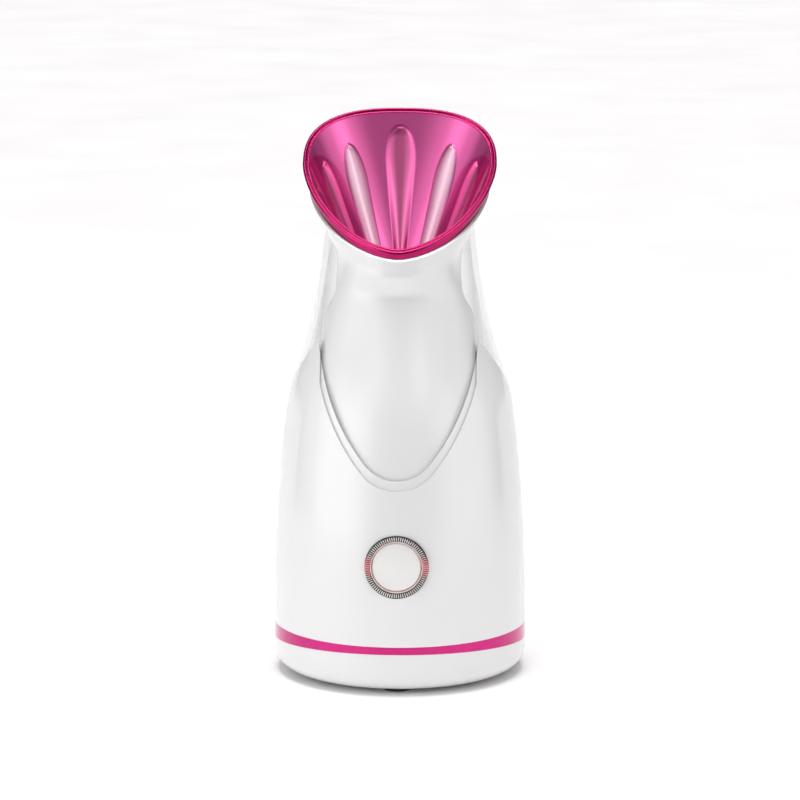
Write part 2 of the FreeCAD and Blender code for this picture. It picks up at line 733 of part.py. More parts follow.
def make_boiler():
    depth = "0 - boiler_depth"
    cup = cylinder("boiler_outer", "boiler_radius", "boiler_top - boiler_bottom",
                   (0, depth, "boiler_bottom"))
    room = cylinder("boiler_room", "boiler_radius - boiler_wall", 60, (0, depth, "boiler_bottom + 2"))
    flange = cylinder("boiler_flange", "boiler_radius + 5", 2, (0, depth, "boiler_top - 2"))
    pads = [box("sensor_pad_right", 4, 14, 14, (13, "0 - boiler_depth - 7", 57)),
            box("sensor_pad_left", 4, 14, 14, (-17, "0 - boiler_depth - 7", 57))]
    port = cylinder("boiler_port", 3, 9, (0, "1", 54), BACK)
    port_bore = cylinder("boiler_port_bore", 2, 16, (0, "0 - 4", 54), BACK)
    holes = [cylinder("flange_hole_%d" % number, 1.3, 4, Vector(x, y, mm("boiler_top - 3")))
             for number, (x, y) in enumerate(flange_places())]
    solid = fuse("boiler_solid", cup, flange, port, *pads)
    node(cut("boiler_cut", solid, room, port_bore, *holes), "boiler_cup")
    node(ring("boiler_seal_ring", "boiler_radius + 1", "boiler_radius - 1.5", 1,
              (0, depth, "boiler_top")), "boiler_seal")
    lid = cylinder("lid_disc", "boiler_radius + 5", 2, (0, depth, "boiler_top + 1"))
    spout = cylinder("lid_spout", "tube_bore - 0.05", 8, (0, "0 - throat_depth", "boiler_top + 1"))
    mouth = cylinder("lid_mouth", "tube_bore - 1", 12, (0, "0 - throat_depth", "boiler_top"))
    lid_holes = [cylinder("lid_hole_%d" % number, 1.5, 4, Vector(x, y, mm("boiler_top")))
                 for number, (x, y) in enumerate(flange_places())]
    node(cut("lid", fuse("lid_solid", lid, spout), mouth, *lid_holes), "boiler_lid")
    screws = [screw("boiler_screw_%d" % number, Vector(x, y, mm("boiler_top + 3")), UP, head=2.2,
                    shank=1.25, length=6) for number, (x, y) in enumerate(flange_places())]
    node(group("boiler_screw_set", *screws), "boiler_screws")
    node(ring("steam_pipe", "tube_radius", "tube_bore", "throat_height - 92",
              (0, "0 - throat_depth", "boiler_top + 3.2")), "steam_tube")


def flange_places():
    return [(x, y - mm("boiler_depth")) for x, y in diagonal_places(18.6)]


def make_heater():
    depth = "0 - boiler_depth"
    node(cylinder("heater", "boiler_radius - 2", 4.8, (0, depth, 41.2)), "ptc_heater")
    plate = cylinder("clamp_plate", "boiler_radius + 1", 1.2, (0, depth, 40))
    legs = [cylinder("clamp_leg_%d" % number, 2, 6, Vector(x, y - mm("boiler_depth"), mm("plate_top")))
            for number, (x, y) in enumerate(diagonal_places(14))]
    node(fuse("clamp", plate, *legs), "heater_clamp")
    middle = "0 - boiler_depth"
    body = cylinder("stat_body", 6, 5, (17, middle, 64), RIGHT)
    rim = cylinder("stat_rim", 7, 1.2, (17, middle, 64), RIGHT)
    tabs = [box("stat_tab_%d" % number, 6, 3, 0.8, (21, "0 - boiler_depth - 1.5", 64 + side))
            for number, side in enumerate((-4, 3.2))]
    node(fuse("thermostat_solid", body, rim, *tabs), "thermostat")
    fuse_body = cylinder("fuse_body", 2, 11, (-19, "0 - boiler_depth - 5.5", 64), BACK)
    clip = box("fuse_clip", 1, 8, 8, (-18, "0 - boiler_depth - 4", 60))
    node(fuse("fuse_solid", fuse_body, clip), "thermal_fuse")


def rounded_path(points, bend_share=0.45):
    """Wire of straight runs joined by tangent arcs."""
    edges = []
    start = points[0]
    for before, corner, after in zip(points, points[1:], points[2:]):
        back, ahead = before - corner, after - corner
        reach = min(back.Length, ahead.Length) * bend_share
        enter = corner + back.normalize() * reach
        leave = corner + ahead.normalize() * reach
        middle = (back + ahead).normalize()
        half = math.acos(max(-1.0, min(1.0, back.dot(ahead)))) / 2
        crest = corner + middle * (reach / math.cos(half) - reach * math.tan(half))
        edges.append(Part.makeLine(start, enter))
        edges.append(Part.Arc(enter, crest, leave).toShape())
        start = leave
    edges.append(Part.makeLine(start, points[-1]))
    return Part.Wire(edges)


def rod(points, radius):
    """Round rod along a rounded path."""
    path = rounded_path(points)
    circle = Part.makeCircle(radius, points[0], points[1] - points[0])
    return path.makePipeShell([Part.Wire([circle])], True, True)


def make_hose():
    depth = mm("hose_depth")
    points = [Vector(0, depth, 86), Vector(0, depth, 54), Vector(0, 5, 54)]
    outer = rod(points, mm("hose_radius"))
    node(feature("hose_form", outer.cut(rod(points, mm("hose_bore")))), "inlet_hose")
    upper = ring("upper_clip", 5, "hose_radius", 2, (0, "hose_depth", 83))
    lower = ring("lower_clip", 5, "hose_radius", 2, (0, 6.2, 54), BACK)
    node(group("clips", upper, lower), "hose_clips")


# ---- chassis, board and wiring ----

def make_chassis():
    plate = cylinder("chassis_plate", "plate_radius", "plate_top - plate_bottom", (0, 0, "plate_bottom"))
    posts = [cylinder("chassis_post_%d" % number, "post_radius", "plate_bottom - 7",
                      (x, y, "base_bottom + 5")) for number, (x, y) in enumerate(diagonal_places(42))]
    rails = [box("board_rail_%d" % number, 6, 4, 44, (side - 3, "0 - board_back", "plate_top"))
             for number, side in enumerate((-13, 13))]
    inlet_legs = [box("inlet_leg_%d" % number, 3, 10, 3.5, (side, 41, "plate_top"))
                  for number, side in enumerate((-9, 6))]
    tools = [cylinder("post_pilot_%d" % number, "pilot_radius", 14, (x, y, "base_bottom + 4"))
             for number, (x, y) in enumerate(diagonal_places(42))]
    tools += [cylinder("shell_clear_%d" % number, 1.6, 6, (x, y, "plate_bottom - 1"))
              for number, (x, y) in enumerate(shell_screw_places())]
    tools += [cylinder("rail_pilot_%d_%d" % (side, height), 1, 5, (side, "0 - board_back", height), BACK)
              for side in (-13, 13) for height in (42, 74)]
    tools += [box("wire_pass_%d" % number, 8, 8, 6, (side, -6, "plate_bottom - 1"))
              for number, side in enumerate((-34, 26))]
    solid = fuse("chassis_solid", plate, *posts, *rails, *inlet_legs)
    node(cut("chassis_cut", solid, *tools), "inner_chassis")


def make_board():
    thickness = "board_front - board_back"
    half = mm("board_half_width")
    plate = box("board_plate", 2 * half, thickness, "board_top - board_bottom",
                (-half, "0 - board_front", "board_bottom"))
    holes = [cylinder("board_hole_%d_%d" % (side, height), 1.2, 4, (side, "0 - board_front - 1", height),
                      BACK) for side in (-13, 13) for height in (42, 74)]
    node(cut("board_cut", plate, *holes), "control_board")
    back = mm("board_back")
    parts = [box("relay", 9, 7, 11, (-8, -back, 41)),
             box("transformer", 11, 9, 9, (-5, -back, 63)),
             box("connector", 8, 5, 5, (2, -back, 54)),
             cylinder("capacitor_a", 3, 6, (6, -back, 45), BACK),
             cylinder("capacitor_b", 2.5, 7, (-7, -back, 57), BACK)]
    node(group("board_part_set", *parts), "board_parts")
    screws = [screw("board_screw_%d_%d" % (side, height), Vector(side, -mm("board_front"), height), FRONT,
                    head=2, head_height=1.3, shank=0.95, length=5)
              for side in (-13, 13) for height in (42, 74)]
    node(group("board_screw_set", *screws), "board_screws")
    node(box("ioniser", 14, 22, 14, (-40, 4, "plate_top")), "ioniser_module")
    needle = cylinder("needle", 0.7, 12, (10, "0 - throat_depth", "throat_height - 12"))
    node(needle, "ioniser_needle")


def make_inlet():
    width, height = "inlet_width", "inlet_height"
    low = "inlet_middle - 6.5"
    body = box("inlet_block", width, 20, height, ("0 - 11", "inlet_back", low))
    flat = common("inlet_trimmed", body, feature("inlet_limit", housing_solid(0.4)))
    eyes = [cylinder("inlet_eye_%d" % number, 3.6, 12, (side, 44, "inlet_middle"), BACK)
            for number, side in enumerate((-3.2, 3.2))]
    bridge = box("inlet_bridge", 6.4, 12, 4, (-3.2, 44, "inlet_middle - 2"))
    node(cut("inlet", flat, *eyes, bridge), "power_inlet")
    pins = [cylinder("inlet_pin_%d" % number, 1.15, 9, (side, 44, "inlet_middle"), BACK)
            for number, side in enumerate((-4.3, 4.3))]
    node(group("pins", *pins), "inlet_pins")


def make_wires():
    mains = []
    heater = []
    for rise in (0, 2.6):
        mains.append(rod([Vector(6, 40, 42 + rise), Vector(6, 33, 42 + rise), Vector(25, 26, 40 + rise),
                          Vector(32, 8, 38 + rise), Vector(32, -14, 38 + rise),
                          Vector(23 + rise, -29 - rise, 37), Vector(8, -33 - rise, 36.6),
                          Vector(-2 - rise, -35, 36.6), Vector(-4 - rise, -36.5, 37.4),
                          Vector(-4 - rise, -36.5, 40.7)], 0.9))
    heater.append(rod([Vector(10, -22.6, 43.6), Vector(12, -30.5, 43.6), Vector(8.5, -31.2, 52),
                       Vector(8.5, -32, 56.5), Vector(8.5, -34.8, 56.5)], 0.8))
    heater.append(rod([Vector(-10, -22.6, 43.6), Vector(-9, -30, 42), Vector(2, -30.6, 40.6),
                       Vector(4.5, -31.4, 51), Vector(4.5, -32, 56.5), Vector(4.5, -34.8, 56.5)], 0.8))
    node(feature("mains_form", Part.makeCompound(mains)), "mains_wires")
    node(feature("heater_form", Part.makeCompound(heater)), "heater_wires")


def check_and_write():
    doc.recompute()
    for item in doc.Objects:
        if "Invalid" in item.State or "Error" in item.State:
            raise RuntimeError("%s (%s) failed: %s" % (item.Name, item.Label, item.State))
    os.makedirs("parts", exist_ok=True)
    for item in nodes:
        shape = item.Shape
        if shape.isNull() or not shape.isValid() or not shape.Solids:
            raise RuntimeError("%s has no valid shape" % item.Label)
    for item in nodes:
        item.Shape.exportStep("parts/%s.step" % item.Label)
        solids = len(item.Shape.Solids)
        print("%-18s solids %2d  volume %9.1f" % (item.Label, solids, item.Shape.Volume))


for make in (make_base, make_feet, make_body_shell, make_housing_screws, make_neck, make_outlet, make_deck,
             make_tank, make_cap, make_valve, make_button, make_boiler, make_heater, make_hose,
             make_chassis, make_board, make_inlet, make_wires):
    make()
check_and_write()
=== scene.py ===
import json
import math

import bpy
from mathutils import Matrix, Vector


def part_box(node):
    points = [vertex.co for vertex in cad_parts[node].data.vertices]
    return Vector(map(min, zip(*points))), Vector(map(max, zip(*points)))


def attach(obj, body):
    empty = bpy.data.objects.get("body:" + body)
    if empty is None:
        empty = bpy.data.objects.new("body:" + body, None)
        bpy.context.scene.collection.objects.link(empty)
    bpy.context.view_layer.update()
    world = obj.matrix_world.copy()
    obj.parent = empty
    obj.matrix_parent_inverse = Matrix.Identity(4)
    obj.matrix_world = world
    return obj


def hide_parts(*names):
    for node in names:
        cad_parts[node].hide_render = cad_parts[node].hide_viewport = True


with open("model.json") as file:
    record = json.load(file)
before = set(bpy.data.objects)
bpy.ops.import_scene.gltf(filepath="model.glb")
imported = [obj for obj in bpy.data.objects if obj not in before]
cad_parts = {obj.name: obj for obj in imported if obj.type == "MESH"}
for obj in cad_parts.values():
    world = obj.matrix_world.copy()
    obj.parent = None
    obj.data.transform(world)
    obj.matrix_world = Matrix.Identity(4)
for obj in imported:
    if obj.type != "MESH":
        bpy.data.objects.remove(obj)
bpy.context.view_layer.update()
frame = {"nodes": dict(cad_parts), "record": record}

MM = 0.001
nodes = frame["nodes"]

# ---- materials ----

NOISE_SPAN = (0.3, 0.7)


class Shader:
    """A Principled material and short ways to add nodes to it."""

    def __init__(self, name, **sockets):
        self.material = bpy.data.materials.new(name)
        self.material.use_nodes = True
        self.tree = self.material.node_tree
        self.main = self.tree.nodes["Principled BSDF"]
        for socket, value in sockets.items():
            self.main.inputs[socket.replace("_", " ")].default_value = value
        self.place = self.tree.nodes.new("ShaderNodeTexCoord").outputs["Object"]

    def node(self, kind, **settings):
        item = self.tree.nodes.new("ShaderNode" + kind)
        for key, value in settings.items():
            setattr(item, key, value)
        return item

    def join(self, source, target):
        self.tree.links.new(source, target)

    def noise(self, scale, detail, stretch=None):
        item = self.node("TexNoise")
        item.inputs["Scale"].default_value = scale
        item.inputs["Detail"].default_value = detail
        vector = self.place
        if stretch:
            mapping = self.node("Mapping")
            mapping.inputs["Scale"].default_value = stretch
            self.join(self.place, mapping.inputs["Vector"])
            vector = mapping.outputs["Vector"]
        self.join(vector, item.inputs["Vector"])
        return item.outputs["Fac"]

    def blend(self, fac, low, high):
        """Colour between low and high as fac crosses the span where noise varies most."""
        ramp = self.node("ValToRGB")
        ramp.color_ramp.elements[0].position = NOISE_SPAN[0]
        ramp.color_ramp.elements[1].position = NOISE_SPAN[1]
        ramp.color_ramp.elements[0].color = (*low, 1)
        ramp.color_ramp.elements[1].color = (*high, 1)
        self.join(fac, ramp.inputs["Fac"])
        return ramp.outputs["Color"]

    def range(self, fac, low, high, start=NOISE_SPAN[0], end=NOISE_SPAN[1]):
        """Number from low to high as fac goes from start to end."""
        item = self.node("MapRange")
        for socket, value in (("From Min", start), ("From Max", end), ("To Min", low), ("To Max", high)):
            item.inputs[socket].default_value = value
        self.join(fac, item.inputs["Value"])
        return item.outputs["Result"]

    def mix(self, fac, low, high):
        item = self.node("Mix", data_type="RGBA")
        self.join(fac, item.inputs["Factor"])
        self.join(low, item.inputs["A"])
        self.join(high, item.inputs["B"])
        return item.outputs["Result"]

    def sharp_edge_mask(self, low, high):
        """1 on sharp outer edges, 0 elsewhere."""
        return self.range(self.node("NewGeometry").outputs["Pointiness"], 0, 1, low, high)

    def bump(self, height, depth, rounding=0.0):
        item = self.node("Bump")
        item.inputs["Strength"].default_value = 1.0
        item.inputs["Distance"].default_value = depth
        self.join(height, item.inputs["Height"])
        if rounding:
            bevel = self.node("Bevel", samples=6)
            bevel.inputs["Radius"].default_value = rounding
            self.join(bevel.outputs["Normal"], item.inputs["Normal"])
        self.join(item.outputs["Normal"], self.main.inputs["Normal"])

    def colour(self, output):
        self.join(output, self.main.inputs["Base Color"])

    def rough(self, output):
        self.join(output, self.main.inputs["Roughness"])


def gloss_white():
    """Glossy moulded plastic under a clear coat, a little lighter on its edges."""
    shader = Shader("gloss_white", Coat_Weight=0.55, Coat_Roughness=0.06, IOR=1.49, Specular_IOR_Level=0.5)
    tone = shader.blend(shader.noise(9, 4), (0.654, 0.656, 0.663), (0.681, 0.681, 0.686))
    edge = shader.blend(shader.sharp_edge_mask(0.55, 0.75), (0, 0, 0), (1, 1, 1))
    rim = shader.blend(shader.noise(420, 2), (0.80, 0.80, 0.80), (0.84, 0.84, 0.84))
    shader.colour(shader.mix(edge, tone, rim))
    shader.rough(shader.range(shader.noise(60, 5), 0.17, 0.27))
    shader.bump(shader.noise(240, 2), 0.000012, 0.0004)
    return shader.material


def inner_white():
    shader = Shader("inner_white", IOR=1.5)
    shader.colour(shader.blend(shader.noise(40, 4), (0.66, 0.66, 0.67), (0.74, 0.74, 0.74)))
    shader.rough(shader.range(shader.noise(300, 3), 0.42, 0.58))
    shader.bump(shader.noise(1800, 3), 0.00003, 0.0003)
    return shader.material


def magenta_metal(low, high, edges):
    """Metallised magenta under a thin lacquer, deeper on its rolled edges, with painted shade darkening it
    where it turns away from the view.
    """
    shader = Shader("magenta_metal", Metallic=0.97, Coat_Weight=0.4, Coat_Roughness=0.03, Coat_IOR=1.55)
    facing = shader.node("LayerWeight").outputs["Facing"]
    # Painted shade: the colour darkens to about a third of itself where the surface turns away from the view.
    painted_grazing_shade = tuple(0.3 * part for part in low)
    tone = shader.mix(shader.range(facing, 0, 0.85, 0.4, 0.95), shader.blend(shader.noise(14, 4), low, high),
                      shader.blend(shader.noise(14, 4), painted_grazing_shade, tuple(1.3 * part for part in painted_grazing_shade)))
    edge = shader.blend(shader.sharp_edge_mask(0.515, 0.58), (0, 0, 0), (1, 1, 1))
    rim = shader.blend(shader.noise(500, 2), edges, tuple(1.15 * part for part in edges))
    shader.colour(shader.mix(edge, tone, rim))
    shader.rough(shader.range(shader.noise(70, 4), 0.10, 0.17))
    shader.bump(shader.noise(150, 2), 0.00001)
    return shader.material


def scoop_metal():
    """The scoop's metallising, with a painted pearly highlight in two hollows, a painted dark crimson
    reflection low on the sides, and painted shade on the rolled rim.
    """
    shader = Shader("scoop_metal", Coat_Weight=0.9, Coat_Roughness=0.03, Coat_IOR=1.6, Specular_IOR_Level=0.6)
    tone = shader.blend(shader.noise(14, 4), (0.70, 0.070, 0.32), (0.76, 0.090, 0.365))
    # Painted dark crimson reflection, low on the sides and partly in the middle flute.
    painted_dark_reflection_tint = shader.blend(shader.noise(60, 3), (0.60, 0.002, 0.185), (0.72, 0.003, 0.225))
    painted_dark_reflection = shader.node("Attribute", attribute_name="painted_dark_reflection").outputs["Fac"]
    depth = shader.node("Attribute", attribute_name="flute").outputs["Fac"]
    # Painted pearly highlight in the flutes, with less metal there.
    painted_highlight_tint = shader.blend(shader.noise(35, 3), (0.93, 0.55, 0.71), (0.97, 0.64, 0.78))
    painted_highlight_mask = shader.range(depth, 0, 0.95, 0.02, 0.75)
    inside = shader.mix(painted_highlight_mask, shader.mix(painted_dark_reflection, tone, painted_dark_reflection_tint), painted_highlight_tint)
    # Painted shade: the rolled rim is coloured much darker than the rest of the scoop, with less coat.
    rim = shader.blend(shader.noise(300, 2), (0.30, 0.001, 0.075), (0.36, 0.002, 0.090))
    rolled = shader.node("Attribute", attribute_name="rim").outputs["Fac"]
    shader.colour(shader.mix(rolled, inside, rim))
    shader.join(shader.range(rolled, 0.95, 0.08, 0, 1), shader.main.inputs["Coat Weight"])
    shader.join(shader.range(painted_highlight_mask, 0.78, 0.22, 0, 1), shader.main.inputs["Metallic"])
    shader.rough(shader.range(shader.noise(70, 4), 0.11, 0.19))
    shader.bump(shader.noise(150, 2), 0.00001)
    return shader.material


def clear_tank():
    """Thin clear plastic: nearly invisible face on, milky at grazing angles."""
    shader = Shader("clear_tank", IOR=1.5, Coat_Weight=0.4, Coat_Roughness=0.04)
    shader.colour(shader.blend(shader.noise(20, 3), (0.90, 0.903, 0.91), (0.96, 0.96, 0.965)))
    shader.rough(shader.range(shader.noise(90, 5), 0.10, 0.2))
    facing = shader.node("LayerWeight").outputs["Facing"]
    shader.join(shader.range(facing, 0.05, 0.55, 0.3, 1.0), shader.main.inputs["Alpha"])
    shader.bump(shader.noise(160, 3), 0.00002)
    return shader.material


def dark_chrome():
    """Chrome with painted shade in its grooves, and a painted pink reflection of the standby glow on both
    sides of the ring.
    """
    shader = Shader("dark_chrome", Metallic=1.0)
    low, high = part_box("button_ring")
    split = shader.node("SeparateXYZ")
    shader.join(shader.place, split.inputs[0])
    # Painted shade: the grooves behind the rib tops are coloured nearly black.
    painted_groove_shade = shader.range(split.outputs["Y"], 0, 1, low.y + 0.02 * MM, low.y + 0.10 * MM)
    bright = shader.blend(shader.noise(700, 2), (0.60, 0.57, 0.56), (0.72, 0.69, 0.68))
    dark = shader.blend(shader.noise(120, 3), (0.010, 0.008, 0.008), (0.026, 0.022, 0.021))
    metal_tone = shader.mix(painted_groove_shade, bright, dark)
    height = shader.node("Math", operation="SUBTRACT")
    shader.join(split.outputs["Z"], height.inputs[0])
    height.inputs[1].default_value = (low.z + high.z) / 2 + 0.4 * MM
    away = shader.node("Math", operation="ABSOLUTE")
    shader.join(height.outputs[0], away.inputs[0])
    # Painted reflection: a pink tint of the standby glow on the ring's left and right sides.
    side = shader.range(away.outputs[0], 0.62, 0, 1.6 * MM, 5.4 * MM)
    glow = shader.blend(shader.noise(400, 2), (0.80, 0.16, 0.17), (0.95, 0.30, 0.30))
    shader.colour(shader.mix(side, metal_tone, glow))
    shader.rough(shader.range(shader.noise(200, 4), 0.2, 0.36))
    shader.bump(shader.noise(900, 2), 0.00001)
    return shader.material


def button_white():
    shader = Shader("button_white", Coat_Weight=0.3, Coat_Roughness=0.12, IOR=1.49)
    shader.colour(shader.blend(shader.noise(30, 4), (0.66, 0.65, 0.645), (0.70, 0.69, 0.685)))
    shader.rough(shader.range(shader.noise(120, 4), 0.28, 0.4))
    shader.bump(shader.noise(700, 3), 0.000014)
    return shader.material


def milky_pink():
    shader = Shader("milky_pink", Transmission_Weight=0.35, IOR=1.45, Emission_Strength=0.06)
    shader.main.inputs["Emission Color"].default_value = (1.0, 0.55, 0.5, 1)
    shader.colour(shader.blend(shader.noise(200, 3), (0.86, 0.74, 0.73), (0.92, 0.82, 0.80)))
    shader.rough(shader.range(shader.noise(300, 3), 0.35, 0.5))
    shader.bump(shader.noise(900, 2), 0.00001)
    return shader.material


def rubber(name, dark, light, rough):
    shader = Shader(name, IOR=1.45)
    shader.colour(shader.blend(shader.noise(60, 5), dark, light))
    shader.rough(shader.range(shader.noise(200, 4), rough, rough + 0.15))
    shader.bump(shader.noise(1500, 4), 0.00004, 0.0003)
    return shader.material


def metal(name, dark, light, rough, stretch=(1, 1, 30)):
    shader = Shader(name, Metallic=1.0)
    shader.colour(shader.blend(shader.noise(90, 4, stretch=stretch), dark, light))
    shader.rough(shader.range(shader.noise(200, 4, stretch=stretch), rough, rough + 0.18))
    shader.bump(shader.noise(500, 3, stretch=stretch), 0.00002, 0.0002)
    return shader.material


def plain_plastic(name, dark, light, rough, grain=1200):
    shader = Shader(name, IOR=1.5)
    shader.colour(shader.blend(shader.noise(50, 4), dark, light))
    shader.rough(shader.range(shader.noise(250, 4), rough, rough + 0.16))
    shader.bump(shader.noise(grain, 3), 0.00003, 0.0002)
    return shader.material


def circuit_board():
    shader = Shader("board_green", IOR=1.5, Coat_Weight=0.4, Coat_Roughness=0.15)
    tracks = shader.node("TexBrick")
    tracks.inputs["Scale"].default_value = 260
    tracks.inputs["Mortar Size"].default_value = 0.05
    tracks.inputs["Color1"].default_value = (0.02, 0.16, 0.07, 1)
    tracks.inputs["Color2"].default_value = (0.025, 0.20, 0.09, 1)
    tracks.inputs["Mortar"].default_value = (0.05, 0.30, 0.15, 1)
    shader.join(shader.place, tracks.inputs["Vector"])
    shader.colour(tracks.outputs["Color"])
    shader.rough(shader.range(shader.noise(300, 3), 0.25, 0.4))
    shader.bump(tracks.outputs["Fac"], 0.00003)
    return shader.material


FINISHES = {
    "white_gloss": gloss_white(),
    "white_inner": inner_white(),
    "magenta_metallised": magenta_metal((0.33, 0.008, 0.12), (0.38, 0.012, 0.14), (0.46, 0.01, 0.15)),
    "clear_tank": clear_tank(),
    "dark_chrome": dark_chrome(),
    "button_white": button_white(),
    "light_pink": milky_pink(),
    "dark_rubber": rubber("dark_rubber", (0.018, 0.018, 0.019), (0.035, 0.035, 0.036), 0.6),
    "silicone": rubber("silicone", (0.62, 0.60, 0.56), (0.72, 0.70, 0.66), 0.4),
    "steel": metal("steel", (0.42, 0.42, 0.43), (0.58, 0.58, 0.59), 0.22),
    "boiler_alloy": metal("boiler_alloy", (0.50, 0.50, 0.51), (0.64, 0.64, 0.64), 0.38, (1, 1, 1)),
    "brass": metal("brass", (0.52, 0.34, 0.12), (0.66, 0.46, 0.18), 0.2),
    "board_green": circuit_board(),
    "dark_plastic": plain_plastic("dark_plastic", (0.012, 0.012, 0.013), (0.025, 0.025, 0.026), 0.42),
    "wire_blue": plain_plastic("wire_blue", (0.02, 0.06, 0.30), (0.03, 0.09, 0.38), 0.35, 600),
    "wire_red": plain_plastic("wire_red", (0.36, 0.02, 0.015), (0.46, 0.03, 0.02), 0.35, 600),
}


def finish_cad_nodes():
    """Every carried-over CAD node gets the full material of its slot."""
    slots = {part["node"]: part["material_slot"] for part in frame["record"]["subparts"]}
    for name, item in nodes.items():
        item.data.materials.clear()
        item.data.materials.append(FINISHES[slots[name]])


# ---- mesh helpers ----


def grid_mesh(name, rows, slot, body, wrap=False):
    """Smooth mesh over closed rings of points; wrap joins the last ring to the first."""
    count = len(rows[0])
    points = [point for row in rows for point in row]
    faces = []
    for row in range(len(rows) - (0 if wrap else 1)):
        here, there = row * count, (row + 1) % len(rows) * count
        for index in range(count):
            after = (index + 1) % count
            faces.append((here + index, here + after, there + after, there + index))
    mesh = bpy.data.meshes.new(name)
    mesh.from_pydata(points, [], faces)
    mesh.validate()
    mesh.polygons.foreach_set("use_smooth", [True] * len(mesh.polygons))
    item = bpy.data.objects.new(name, mesh)
    bpy.context.scene.collection.objects.link(item)
    mesh.materials.append(FINISHES[slot])
    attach(item, body)
    return item


# ---- steam scoop ----

LIP_RISE = 58.2 * MM
RIM_BAND = 3.0 * MM
SCOOP_WALL = 2.4 * MM
THROAT_RADIUS = 14 * MM
THROAT_DEPTH = 17 * MM
FRONT_BEND = (-0.033, 0.184)
BACK_BEND = (0.008, 0.197)
WIDEST_SHARE = 48 / 77.3
FLUTE_DEPTH = 1.15 * MM
FLUTE_HALF_ANGLE = 10.5
MIDDLE_FLUTE_SHARE = 0.78
FLUTE_TIP = 0.2
# Each flute's angle from the back and where along the scoop it ends.
FLUTES = ((0, 0.94), (34, 0.88), (67, 0.88), (98, 0.88))
# Flutes between these angles from the back get a full painted highlight.
PAINTED_HIGHLIGHT_ANGLES = (20, 50)
# Past this angle from the back, low on the sides, the scoop gets a painted dark reflection.
PAINTED_DARK_REFLECTION_ANGLE = 44
SCOOP_COLUMNS = 720


def signed_power(number, power):
    return math.copysign(abs(number) ** power, number)


def bend(start, middle, end, share):
    """Point on the quadratic curve from start to end."""
    weights = ((1 - share) ** 2, 2 * share * (1 - share), share ** 2)
    points = (start, middle, end)
    return [sum(weight * point[axis] for weight, point in zip(weights, points)) for axis in (0, 1)]


class Scoop:
    """The scoop's form, worked out from the CAD scoop's box."""

    def __init__(self):
        low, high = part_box("nozzle_scoop")
        self.half = (high.x - low.x) / 2
        self.lip = (low.y, high.z - LIP_RISE)
        self.top = (high.y, high.z)
        self.throat_height = low.z
        length = math.dist(self.lip, self.top)
        self.along = ((self.top[0] - self.lip[0]) / length, (self.top[1] - self.lip[1]) / length)
        self.outward = Vector((0, -self.along[1], self.along[0]))

    def section(self, share):
        """Front point, back point and half width, from the throat 0 to the rim 1."""
        along_y, along_z = self.along
        lip = (self.lip[0] + along_y * RIM_BAND, self.lip[1] + along_z * RIM_BAND)
        top = (self.top[0] - along_y * RIM_BAND, self.top[1] - along_z * RIM_BAND)
        front = bend((-THROAT_DEPTH - THROAT_RADIUS, self.throat_height), FRONT_BEND, lip, share)
        back = bend((-THROAT_DEPTH + THROAT_RADIUS, self.throat_height), BACK_BEND, top, share)
        half = THROAT_RADIUS + (self.half - RIM_BAND - THROAT_RADIUS) * share ** 1.15
        return front, back, half

    def flute(self, angle, share):
        """Depth of the flutes at an angle from the back, in degrees."""
        depth = 0.0
        for middle, end in FLUTES:
            run = max(0.0, (share - (end - FLUTE_TIP)) / FLUTE_TIP)
            widest = FLUTE_HALF_ANGLE * (1.0 if middle else MIDDLE_FLUTE_SHARE)
            width = widest * math.sqrt(max(0.0, 1 - run ** 2))
            away = abs(abs(angle) - middle)
            if away < width:
                depth = FLUTE_DEPTH * (1 - (away / width) ** 2) ** 1.4 * min(1.0, width / 5)
        return depth

    def ring(self, share, grow, fluted=False):
        """Closed ring of points round the scoop, grown outwards by grow."""
        (front_y, front_z), (back_y, back_z), half = self.section(share)
        length = math.hypot(back_y - front_y, back_z - front_z)
        along_y, along_z = (back_y - front_y) / length, (back_z - front_z) / length
        widest = length * (0.5 + (WIDEST_SHARE - 0.5) * share)
        points = []
        for index in range(SCOOP_COLUMNS):
            angle = 2 * math.pi * index / SCOOP_COLUMNS
            power = 2 / (2 + 0.6 * share) if math.sin(angle) > 0 else 2 / (2 - 0.32 * share)
            off_back = math.degrees((angle - math.pi / 2 + math.pi) % (2 * math.pi) - math.pi)
            extra = grow + (self.flute(off_back, share) if fluted else 0)
            across = (half + extra) * signed_power(math.cos(angle), power)
            reach = (length - widest if math.sin(angle) > 0 else widest) + extra
            along = widest + reach * signed_power(math.sin(angle), power)
            points.append(Vector((across, front_y + along_y * along, front_z + along_z * along)))
        return points

    def rim(self, share):
        """Ring of the rim's rolled edge, from its inner edge 0 to its outer edge 1."""
        inner, outer = self.ring(1, 0), self.ring(1, RIM_BAND)
        height = (0.30 * math.sin(math.pi * min(1, share / 0.42)) if share < 0.42
                  else 0.62 * math.sin(math.pi * (share - 0.42) / 0.58)) * MM
        return [a.lerp(b, share) + self.outward * height for a, b in zip(inner, outer)]


